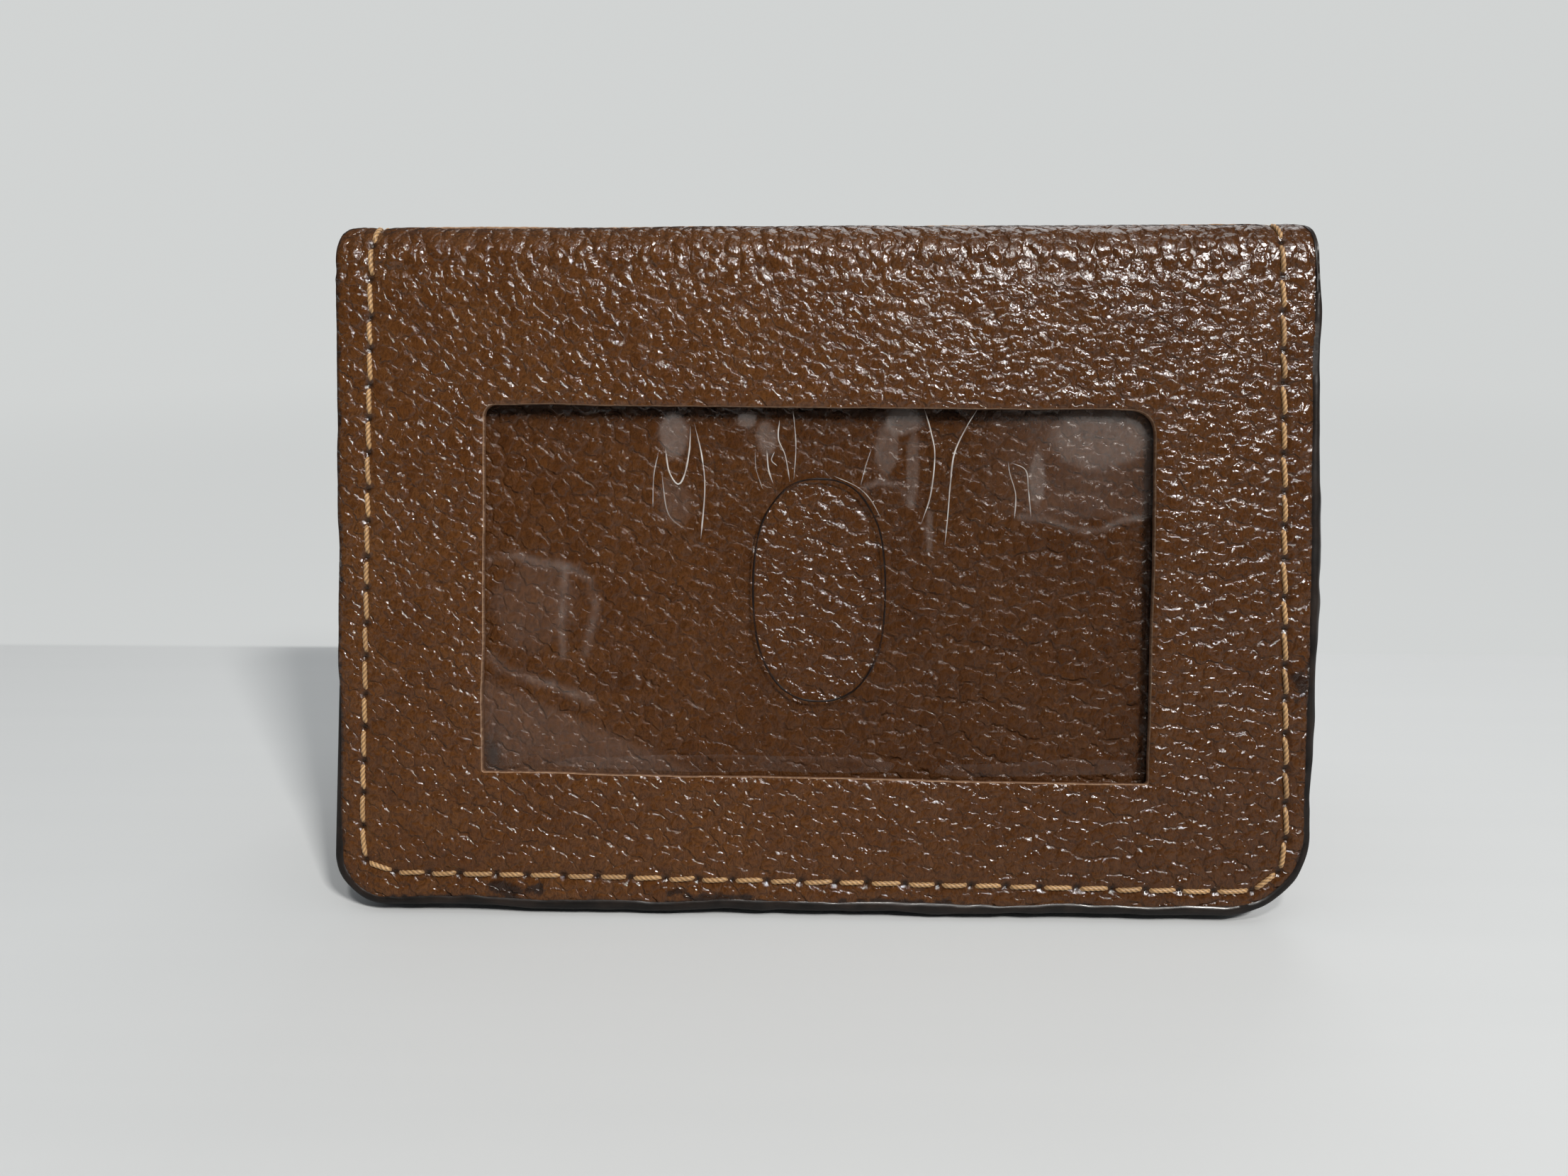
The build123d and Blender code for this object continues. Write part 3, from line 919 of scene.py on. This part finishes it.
class Shader:
    """Short calls for building the nodes of one material, or of the world."""

    def __init__(self, name, world=False):
        self.owner = (bpy.data.worlds if world else bpy.data.materials).new(name)
        self.owner.use_nodes = True
        self.tree = self.owner.node_tree
        self.tree.nodes.clear()
        self.output = self.node("OutputWorld" if world else "OutputMaterial")

    def node(self, kind, inputs=None, **settings):
        node = self.tree.nodes.new("ShaderNode" + kind)
        for key, value in settings.items():
            setattr(node, key, value)
        for key, value in (inputs or {}).items():
            if isinstance(value, bpy.types.NodeSocket):
                self.tree.links.new(value, node.inputs[key])
            else:
                node.inputs[key].default_value = value
        return node

    def attribute(self, name, output="Fac"):
        return self.node("Attribute", attribute_name=name).outputs[output]

    def math(self, operation, a, b=0.0, clamp=False):
        return self.node("Math", {0: a, 1: b}, operation=operation, use_clamp=clamp).outputs[0]

    def times(self, a, b, clamp=False):
        return self.math("MULTIPLY", a, b, clamp)

    def plus(self, a, b, clamp=False):
        return self.math("ADD", a, b, clamp)

    def scaled(self, value, low, high):
        """Maps 0..1 onto low..high, and clips."""
        return self.node("MapRange", {"Value": value, "To Min": low, "To Max": high}).outputs["Result"]

    def noise(self, vector, scale, detail=3.0, roughness=0.55):
        inputs = {"Vector": vector, "Scale": scale, "Detail": detail, "Roughness": roughness}
        return self.node("TexNoise", inputs).outputs["Fac"]

    def voronoi(self, vector, feature, smoothness=None):
        inputs = {"Vector": vector, "Scale": 1.0, "Randomness": 0.9}
        if smoothness is not None:
            inputs["Smoothness"] = smoothness
        return self.node("TexVoronoi", inputs, voronoi_dimensions="2D", feature=feature)

    def mix(self, factor, a, b):
        node = self.node("Mix", {0: factor}, data_type="RGBA")
        for socket, value in ((node.inputs[6], a), (node.inputs[7], b)):
            if isinstance(value, bpy.types.NodeSocket):
                self.tree.links.new(value, socket)
            else:
                socket.default_value = (*value, 1)
        return node.outputs[2]

    def vector(self, operation, a, b):
        return self.node("VectorMath", {0: a, 1: b}, operation=operation).outputs[0]

    def mapped(self, vector, scale, angle=0.0, shift=(0, 0, 0), kind="POINT"):
        inputs = {"Vector": vector, "Location": shift, "Rotation": (0, 0, angle), "Scale": scale}
        return self.node("Mapping", inputs, vector_type=kind).outputs[0]

    def step(self, value, low, high):
        """Maps low..high softly onto 0..1, and clips."""
        inputs = {"Value": value, "From Min": low, "From Max": high}
        return self.node("MapRange", inputs, interpolation_type="SMOOTHSTEP").outputs["Result"]

    def blend(self, factor, a, b):
        """Mix of two numbers."""
        return self.node("Mix", {0: factor, 2: a, 3: b}).outputs[0]

    def bump(self, height, distance, strength=1.0):
        inputs = {"Height": height, "Distance": distance, "Strength": strength}
        return self.node("Bump", inputs).outputs["Normal"]

    def principled(self, colour, roughness, more=None):
        inputs = {"Base Color": colour, "Roughness": roughness} | (more or {})
        return self.node("BsdfPrincipled", inputs).outputs[0]

    def either(self, factor, a, b):
        """Mix of two surfaces."""
        return self.node("MixShader", {0: factor, 1: a, 2: b}).outputs[0]

    def finish(self, surface):
        self.tree.links.new(surface, self.output.inputs["Surface"])
        return self.owner


def pebble_layer(m, where, size, angle, stretch, shift, depth, lean, floor):
    """One layout of pebbles: (height in mm, crease 0 to 1, tone 0 to 1), drawn out along `angle`.

    The layout is looked up a little further across the higher it lies, by `lean`, so that each pebble falls
    steeply on its upper side and gently below. The creases are flat beyond `floor`.
    """
    scale = (size * stretch, size / stretch, 1)
    cells = m.mapped(where, scale, angle, (shift, shift * 0.7, 0), "TEXTURE")
    plain = m.voronoi(cells, "F1")
    lift = m.times(m.math("POWER", plain.outputs["Distance"], 2.0), lean)
    cells = m.vector("ADD", cells, m.node("CombineXYZ", {1: lift}).outputs[0])
    leaning = m.voronoi(cells, "SMOOTH_F1", 0.28)
    reach = m.math("MINIMUM", m.times(leaning.outputs["Distance"], 2.0), floor)
    height = m.times(m.math("POWER", reach, 2.2), -depth)
    tone = m.node("SeparateXYZ", {0: leaning.outputs["Color"]}).outputs[0]
    return height, m.step(reach, 0.60, 1.25), tone


# Layouts of pebbles at the left, at the right and on the fold:
# size and angle, stretch, shift, depth, lean, and how far out the creases go flat
PEBBLE_LAYOUTS = (
    (1.40, -38, 1.16, 3.1, 0.114, 0.94, 1.18),
    (1.44, -12, 1.18, 41.7, 0.105, 0.88, 1.35),
    (1.46, -88, 1.20, 77.3, 0.140, 0.20, 1.35),
)
# Near-black painted shade for the needle holes; dark of the edge paint, also used as painted shadow on the
# window backing
NEEDLE_HOLE_SHADE, PAINT_AND_SHADOW_DARK = (0.004, 0.003, 0.002), (0.012, 0.008, 0.007)


def leather(name, base, high, dark, roughness=0.22, coat=0.9, size=1.0, depth=1.0):
    """Finished full-grain leather: pebbled and finely wrinkled, with painted shade in its creases (partly
    dirt), fine wrinkles, needle holes and towards the right, and stained by edge paint, whose dark is painted
    shadow on the window backing.
    """
    m = Shader(name)
    where = m.attribute("sheet", "Vector")
    right, fold, holes = m.attribute("right"), m.attribute("fold"), m.attribute("dots")
    wander = m.node("TexNoise", {"Vector": where, "Scale": 0.8, "Detail": 2.0}, noise_dimensions="2D")
    wander = m.vector("SUBTRACT", wander.outputs["Color"], (0.5, 0.5, 0.5))
    bent = m.vector("ADD", where, m.vector("MULTIPLY", wander, (1.2, 1.2, 1.2)))
    layers = [
        pebble_layer(m, bent, width * size, radians(angle), stretch, shift, deep * depth, lean, floor)
        for width, angle, stretch, shift, deep, lean, floor in PEBBLE_LAYOUTS
    ]
    mixed = layers[0]
    for share, layer in ((right, layers[1]), (fold, layers[2])):
        mixed = [m.blend(share, before, after) for before, after in zip(mixed, layer)]
    height, crease, own = mixed
    height = m.times(height, m.scaled(m.noise(where, 0.45, 2.0), 0.35, 1.65))
    height = m.times(height, m.scaled(m.attribute("seam"), 1.0, 0.45))

    tiny = m.noise(m.mapped(bent, (1.0, 0.5, 1.0), 0.15), 4.0, 3.0, 0.65)
    cloud = m.plus(m.noise(where, 0.09, 3.0), m.scaled(own, -0.22, 0.22))
    speck = m.noise(where, 2.6, 3.0, 0.65)
    colour = m.mix(m.scaled(cloud, -0.35, 1.35), base, high)
    # Painted shade: darker towards the right, standing in for how the light falls there
    colour = m.mix(m.times(right, 0.30), colour, dark)
    # Painted shade in the low places of the fine wrinkles: darker where their height is low
    colour = m.mix(m.scaled(m.times(m.math("SUBTRACT", 0.58, tiny), 5.0), 0.0, 0.55), colour, dark)
    # Painted shade in the pebbles' creases, partly dirt, broken up by specks
    colour = m.mix(m.times(crease, m.scaled(speck, -0.15, 0.25), True), colour, dark)
    # Painted shade: the needle holes made near-black
    colour = m.mix(m.times(holes, 0.95, True), colour, NEEDLE_HOLE_SHADE)
    # Edge paint smudges on the cover and pockets; on the window backing the same dark is painted shadow
    colour = m.mix(m.times(m.attribute("paint"), 0.88, True), colour, PAINT_AND_SHADOW_DARK)

    normal = m.bump(m.plus(height, m.times(tiny, 0.062)), MM)
    rough = m.scaled(speck, roughness - 0.05, roughness + 0.08)
    rough = m.plus(rough, m.times(crease, 0.15))
    rough = m.plus(rough, m.times(holes, 0.6), True)
    return m.finish(m.principled(colour, rough, {
        "Normal": normal, "Specular IOR Level": 0.10,
        "Coat Weight": coat, "Coat IOR": 1.7, "Coat Roughness": 0.09, "Coat Normal": normal,
    }))


def raw_edge(name, light, dark):
    """Cut leather: pale fibres with darker flecks."""
    m = Shader(name)
    where = m.attribute("sheet", "Vector")
    fibres = m.scaled(m.noise(where, 2.2, 5.0, 0.7), -0.1, 1.9)
    share = m.math("SUBTRACT", fibres, m.times(m.attribute("down"), 1.3), True)
    normal = m.bump(m.noise(where, 5.0, 4.0, 0.7), 0.00005, 0.8)
    return m.finish(m.principled(m.mix(share, dark, light), 0.85, {"Normal": normal}))


def suede(name, base, high):
    """Flesh side of the leather: matt, brushed and a little furry."""
    m = Shader(name)
    where = m.attribute("sheet", "Vector")
    colour = m.mix(m.noise(where, 1.8, 6.0, 0.75), base, high)
    normal = m.bump(m.noise(where, 4.5, 5.0, 0.75), 0.00008, 0.9)
    sheen = {"Sheen Weight": 0.35, "Sheen Roughness": 0.5}
    return m.finish(m.principled(colour, 0.93, {"Normal": normal} | sheen))


def woven(name, warp, weft):
    """Plain-weave lining cloth."""
    m = Shader(name)
    where = m.attribute("sheet", "Vector")
    x, s = (m.node("SeparateXYZ", {"Vector": where}).outputs[k] for k in (0, 1))
    ripple_x, ripple_s = (m.math("SINE", m.times(axis, 2 * pi / YARN_PITCH)) for axis in (x, s))
    over = m.scaled(m.times(m.times(ripple_x, ripple_s), 2.5), 0.0, 1.0)
    slub = m.noise(where, 0.8, 4.0, 0.6)
    colour = m.mix(m.scaled(slub, -0.1, 0.35), m.mix(over, warp, weft), (0.02, 0.012, 0.008))
    yarns = m.plus(m.math("ABSOLUTE", ripple_x), m.math("ABSOLUTE", ripple_s))
    normal = m.bump(m.plus(yarns, m.times(slub, 0.8)), 0.00006, 0.7)
    sheen = {"Sheen Weight": 0.3, "Sheen Roughness": 0.4}
    return m.finish(m.principled(colour, 0.8, {"Normal": normal} | sheen))


def waxed_thread(name, light, dark):
    """Twisted polyester thread, pale on the plies and with painted shade between them."""
    m = Shader(name)
    streak = m.noise(m.node("TexCoord").outputs["Object"], 4200.0, 2.0, 0.6)
    # Painted shade in the grooves between the plies, times random streaks of tone
    shade = m.times(m.scaled(m.attribute("ply"), 0.25, 1.0), m.scaled(streak, 0.55, 1.25))
    colour = m.mix(m.scaled(m.attribute("tone"), 0.0, 0.35), m.mix(shade, dark, light), dark)
    normal = m.bump(streak, 0.00002, 0.6)
    return m.finish(m.principled(colour, 0.42, {"Normal": normal, "Sheen Weight": 0.15}))


def edge_paint(name):
    """Dark edge paint, glossy with brushed lumps and a few rubbed brown patches."""
    m = Shader(name)
    where = m.node("TexCoord").outputs["Object"]
    cloud = m.noise(where, 260.0, 4.0, 0.65)
    colour = m.mix(m.scaled(cloud, -0.7, 1.1), (0.010, 0.008, 0.007), (0.040, 0.026, 0.020))
    normal = m.bump(m.noise(where, 700.0, 4.0, 0.6), 0.00006, 0.8)
    rough = m.scaled(m.noise(where, 500.0, 3.0), 0.22, 0.50)
    return m.finish(m.principled(colour, rough, {
        "Normal": normal, "Coat Weight": 0.3, "Coat Roughness": 0.15,
    }))


FILM_TINT = (0.985, 0.983, 0.98, 1)


def clear_film(name):
    """Clear soft vinyl: glossy, with painted glare as a milky pale layer, and open to every ray that isn't
    the camera's.
    """
    m = Shader(name)
    where = m.attribute("sheet", "Vector")
    glare_breakup = m.scaled(m.noise(where, 1.2, 5.0, 0.7), 0.3, 1.6)
    normal = m.bump(m.noise(where, 0.35, 2.0, 0.5), 0.00002, 0.5)
    glass = m.principled(FILM_TINT, 0.0, {"Normal": normal, "Transmission Weight": 1.0, "IOR": 1.33})
    # Painted glare: a milky pale surface mixed into the film by its glare attribute
    glare_layer = m.principled((0.62, 0.58, 0.55, 1), 0.5, {"Normal": normal})
    amount = m.times(m.times(m.attribute("haze"), 0.085), glare_breakup, True)
    clear = m.node("BsdfTransparent", {"Color": FILM_TINT}).outputs[0]
    seen = m.node("LightPath").outputs["Is Camera Ray"]
    return m.finish(m.either(seen, clear, m.either(amount, glass, glare_layer)))


def crease_line(name):
    """Painted glint along a crease of the film, or painted shadow along the cut edge round its hole, fading
    at the ends.
    """
    m = Shader(name)
    # Shade 0 paints the hole edge's shadow, shade 1 the creases' glints
    colour = m.mix(m.attribute("shade"), (0.012, 0.006, 0.004), (0.80, 0.76, 0.72))
    clear = m.node("BsdfTransparent").outputs[0]
    mark = m.scaled(m.attribute("mark"), 0.0, 1.0)
    return m.finish(m.either(mark, clear, m.principled(colour, 0.28)))


def floor_material():
    """White table top; past the line where it meets the wall, and far away, it takes the room's tone."""
    m = Shader("floor_white")
    where = m.node("TexCoord").outputs["Object"]
    broad = m.times(m.noise(where, 9.0, 3.0), 0.6)
    streaks = m.times(m.noise(m.mapped(where, (7.0, 150.0, 1.0)), 1.0, 2.0), 0.5)
    colour = m.mix(m.plus(broad, streaks), (0.668, 0.689, 0.697), (0.718, 0.737, 0.743))
    mirrored = m.times(m.node("LightPath").outputs["Is Glossy Ray"], 0.8)
    colour = m.mix(mirrored, colour, (0.0, 0.0, 0.0))
    lit = m.principled(colour, 0.55, {"Specular IOR Level": 0.35})
    even = m.node("Emission", {"Color": (*ROOM_TONE, 1), "Strength": 1.0}).outputs[0]
    far = m.step(m.node("VectorMath", {0: where}, operation="LENGTH").outputs["Value"], 0.16, 0.6)
    y = m.node("SeparateXYZ", {"Vector": where}).outputs[1]
    limits = {"From Min": WALL_LINE, "From Max": WALL_LINE + 0.0015, "To Max": 0.8}
    wall = m.node("MapRange", {"Value": y} | limits).outputs["Result"]
    lit_share = m.times(*(m.math("SUBTRACT", 1.0, each) for each in (far, wall)))
    return m.finish(m.either(m.math("SUBTRACT", 1.0, lit_share), lit, even))


# ---------------------------------------------------------------- pieces

# Dark that the leather's painted shade goes to: in creases (partly dirt), fine wrinkles and towards the right
LEATHER_DARK = (0.026, 0.009, 0.003)
cover_leather = leather("cover_leather", (0.104, 0.0375, 0.0100), (0.134, 0.0525, 0.0155), LEATHER_DARK)
pocket_leather = leather("pocket_leather", (0.105, 0.038, 0.012), (0.130, 0.051, 0.017), LEATHER_DARK,
                         roughness=0.34, coat=0.2, depth=0.6)
panel_leather = leather("panel_leather", (0.094, 0.0335, 0.0090), (0.120, 0.046, 0.0136), LEATHER_DARK,
                        size=1.12, depth=1.15)
cut_leather = raw_edge("cut_leather", (0.62, 0.40, 0.25), (0.16, 0.075, 0.035))
dark_cut = raw_edge("dyed_cut", (0.06, 0.03, 0.018), (0.018, 0.010, 0.007))
flesh_side = suede("flesh_side", (0.095, 0.048, 0.024), (0.15, 0.082, 0.045))
lining_cloth = woven("lining_cloth", (0.075, 0.040, 0.022), (0.115, 0.066, 0.038))
thread_material = waxed_thread("thread", (0.80, 0.49, 0.22), (0.110, 0.048, 0.016))
paint_material = edge_paint("edge_paint")
film_material = clear_film("clear_film")

FOLD_BLEND_START = (0, -3.9 * MM, AXIS_Z * MM)
FOLD_BLEND_END = (0, -0.05 * MM, AXIS_Z * MM)


def across_fold(piece, front):
    """Bakes a piece's placement into its mesh; it does not bend the piece over to the spine."""
    if front:
        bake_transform(piece)
        return
    start, end = ((x, -y, z) for x, y, z in (FOLD_BLEND_END, FOLD_BLEND_START))
    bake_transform(piece)
    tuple(start)
    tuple(end)


def seam_floor(seed):
    """Level that the thread lies on: the pressed leather along the seam."""
    def face(x, s):
        return -0.17 + 0.08 * noise(x / 12, s / 9, seed + 30)
    return face


def inner_floor(x, s):
    """Level that the bobbin thread lies on: just in the innermost face."""
    return -depth_behind(from_bottom(s)) + 0.10


skins = [cover_leather, cut_leather, flesh_side]
sheets = [pocket_leather, dark_cut, flesh_side]

front = make_cover("cover_front", lines(-0.5, TOP, 0.235), FRONT_SEED, FRONT_HOLES, front_inside, skins)
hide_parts("front_cover")
rear = make_cover("cover_rear", lines(TOP, TOTAL + 0.5, 0.33), REAR_SEED, REAR_HOLES, outline_inside, skins)
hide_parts("rear_cover", "spine_leather")
for piece, is_front in ((front, True), (rear, False)):
    across_fold(piece, is_front)

for name, nodes, is_front in (
    ("lining_front", ("front_interlining",), True),
    ("lining_rear", ("rear_lining", "spine_lining"), False),
):
    piece = lining(name, is_front, [lining_cloth, lining_cloth, lining_cloth])
    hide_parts(*nodes)
    across_fold(piece, is_front)

panel_piece = backing("window_backing", [panel_leather, dark_cut, pocket_leather])
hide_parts("id_backing")
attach(panel_piece, "front_half")

for name, node, top, index, is_front, notch in (
    ("pocket_front_upper", "front_pocket_upper", UPPER_POCKET, 2, True, True),
    ("pocket_front_lower", "front_pocket_lower", LOWER_POCKET, 3, True, True),
    ("panel_rear", "rear_pocket_back", REAR_PANEL_TOP, 1, False, False),
    ("pocket_rear_upper", "rear_pocket_upper", UPPER_POCKET, 2, False, True),
    ("pocket_rear_lower", "rear_pocket_lower", LOWER_POCKET, 3, False, True),
):
    piece = pocket(name, top, index, is_front, sheets, notch)
    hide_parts(node)
    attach(piece, "front_half" if is_front else "rear_half")

film = make_film("window_film_clear", [film_material, film_material, film_material])
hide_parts("window_film")
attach(film, "front_half")
creases = make_film_lines("film_creases", [crease_line("film_crease")])
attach(creases, "front_half")

for name, nodes, is_front, surface, outward in (
    ("thread_front", ("front_stitching", "spine_stitching"), True, seam_floor(FRONT_SEED), 1),
    ("thread_rear", ("rear_stitching",), False, seam_floor(REAR_SEED), 1),
    ("bobbin_front", ("front_bobbin_stitching", "spine_bobbin_stitching"), True, inner_floor, -1),
    ("bobbin_rear", ("rear_bobbin_stitching",), False, inner_floor, -1),
):
    holes = FRONT_HOLES if is_front else REAR_HOLES
    piece = make_thread(name, holes, surface, outward, [thread_material], THREAD_SEED + len(name))
    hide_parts(*nodes)
    across_fold(piece, is_front)

for name, nodes, is_front in (
    ("edge_front", ("front_edge_paint", "spine_edge_paint"), True),
    ("edge_rear", ("rear_edge_paint",), False),
):
    piece = make_bead(name, is_front, [paint_material])
    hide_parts(*nodes)
    across_fold(piece, is_front)


# ---------------------------------------------------------------- stage, light and camera

def make_floor():
    """The table top that the holder stands on."""
    mesh = bpy.data.meshes.new("floor")
    reach = 4.0
    corners = [(-reach, -reach, 0), (reach, -reach, 0), (reach, reach, 0), (-reach, reach, 0)]
    mesh.from_pydata(corners, [], [(0, 1, 2, 3)])
    mesh.materials.append(floor_material())
    floor = bpy.data.objects.new("floor", mesh)
    bpy.context.scene.collection.objects.link(floor)


def direction(azimuth, elevation):
    """Unit vector from the object towards a place round it; azimuth 0 is in front and 90 at its right."""
    a, e = radians(azimuth), radians(elevation)
    return Vector((sin(a) * cos(e), -cos(a) * cos(e), sin(e)))


def area_light(name, azimuth, elevation, distance, size, power, colour):
    """Rectangular light that faces the middle of the holder."""
    light = bpy.data.lights.new(name, "AREA")
    light.shape = "RECTANGLE"
    light.size, light.size_y = size
    light.energy = power
    light.color = colour
    obj = bpy.data.objects.new(name, light)
    target = Vector((0, 0, 0.035))
    way = direction(azimuth, elevation)
    obj.location = target + way * distance
    obj.rotation_mode = "QUATERNION"
    obj.rotation_quaternion = way.to_track_quat("Z", "Y")
    bpy.context.scene.collection.objects.link(obj)


def make_world():
    """Pale room: seen as an even tone; as light it is dark on the camera's side and dimmer in reflections."""
    m = Shader("room", world=True)
    path = m.node("LightPath")
    y = m.node("SeparateXYZ", {0: m.node("TexCoord").outputs["Generated"]}).outputs[1]
    side = m.node("MapRange", {"Value": y, "From Min": -0.75, "From Max": 0.05, "To Min": 0.10})
    dimmer = m.scaled(path.outputs["Is Glossy Ray"], 1.0, 0.12)
    strength = m.times(m.times(side.outputs["Result"], dimmer), WORLD_LIGHT)
    lit = m.node("Background", {"Color": (0.94, 0.985, 1.02, 1), "Strength": strength}).outputs[0]
    seen = m.node("Background", {"Color": (*ROOM_TONE, 1), "Strength": 1.0}).outputs[0]
    bpy.context.scene.world = m.finish(m.either(path.outputs["Is Camera Ray"], lit, seen))


def make_camera():
    """Camera that sees the holder from the front and a little above."""
    data = bpy.data.cameras.new("camera")
    data.sensor_width = 36.0
    data.lens = CAMERA_LENS
    data.clip_start = 0.01
    camera = bpy.data.objects.new("camera", data)
    yaw, pitch, roll = CAMERA_YAW, CAMERA_PITCH, CAMERA_ROLL
    forward = Vector((sin(yaw) * cos(pitch), cos(yaw) * cos(pitch), -sin(pitch)))
    right = Vector((cos(yaw), -sin(yaw), 0))
    up = right.cross(forward)
    right, up = cos(roll) * right + sin(roll) * up, cos(roll) * up - sin(roll) * right
    turn = Matrix((right, up, -forward)).transposed().to_4x4()
    camera.matrix_world = Matrix.Translation(CAMERA_PLACE * MM) @ turn
    bpy.context.scene.collection.objects.link(camera)
    bpy.context.scene.camera = camera


make_floor()
make_world()
for row in LIGHTS:
    area_light(*row)
make_camera()
bpy.context.scene.view_settings.view_transform = "Standard"
